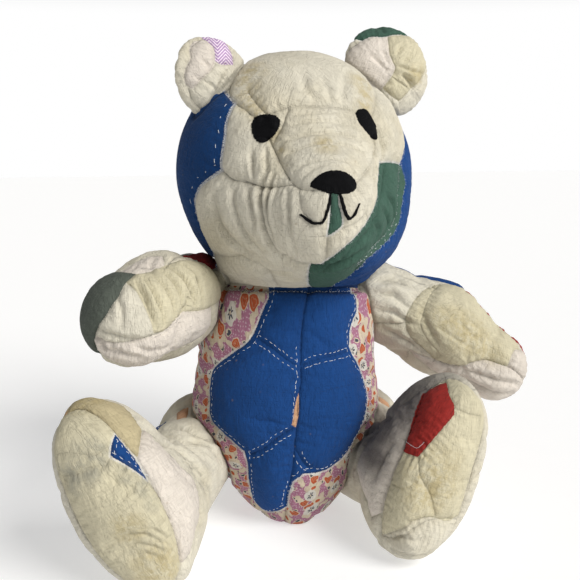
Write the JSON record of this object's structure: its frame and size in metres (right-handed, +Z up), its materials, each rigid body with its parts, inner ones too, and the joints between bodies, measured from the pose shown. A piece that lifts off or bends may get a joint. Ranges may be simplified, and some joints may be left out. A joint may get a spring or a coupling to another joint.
{
  "type": "patchwork teddy bear",
  "caption": "Worn patchwork teddy bear, seated, sewn from pieces of an old hand-stitched quilt, with an embroidered face.",
  "frame": {"origin": "on the floor, under the middle of the toy's bounding box", "axes": "+Z up, the bear faces -Y, its own left is +X"},
  "size_m": [0.3168, 0.2088, 0.3145],
  "materials": {
    "muslin_patchwork": "washed, yellowed cotton quilt cloth with faded patches",
    "calico_patchwork": "small-flowered calico round a deep blue cotton field",
    "stuffing": "loose wadding",
    "black_thread": "satin-stitched cotton floss",
    "white_thread": "cotton quilting thread"
  },
  "bodies": {
    "root": {"body_front_right": "calico_patchwork", "body_front_left": "calico_patchwork", "body_back_right": "calico_patchwork", "body_back_left": "calico_patchwork", "head_gusset": "muslin_patchwork", "head_side_right": "muslin_patchwork", "head_side_left": "muslin_patchwork", "ear_right_front": "muslin_patchwork", "arm_right_front": "muslin_patchwork", "ear_right_back": "muslin_patchwork", "arm_right_back": "muslin_patchwork", "leg_right_inner": "muslin_patchwork", "leg_right_outer": "muslin_patchwork", "sole_right": "muslin_patchwork", "ear_left_front": "muslin_patchwork", "arm_left_front": "muslin_patchwork", "ear_left_back": "muslin_patchwork", "arm_left_back": "muslin_patchwork", "leg_left_inner": "muslin_patchwork", "leg_left_outer": "muslin_patchwork", "sole_left": "muslin_patchwork", "head_stuffing": "stuffing", "body_stuffing": "stuffing", "arm_right_stuffing": "stuffing", "arm_left_stuffing": "stuffing", "leg_right_stuffing": "stuffing", "leg_left_stuffing": "stuffing", "eye_right": "black_thread", "eye_left": "black_thread", "nose": "black_thread", "mouth_right": "black_thread", "mouth_left": "black_thread"}
  },
  "joints": []
}
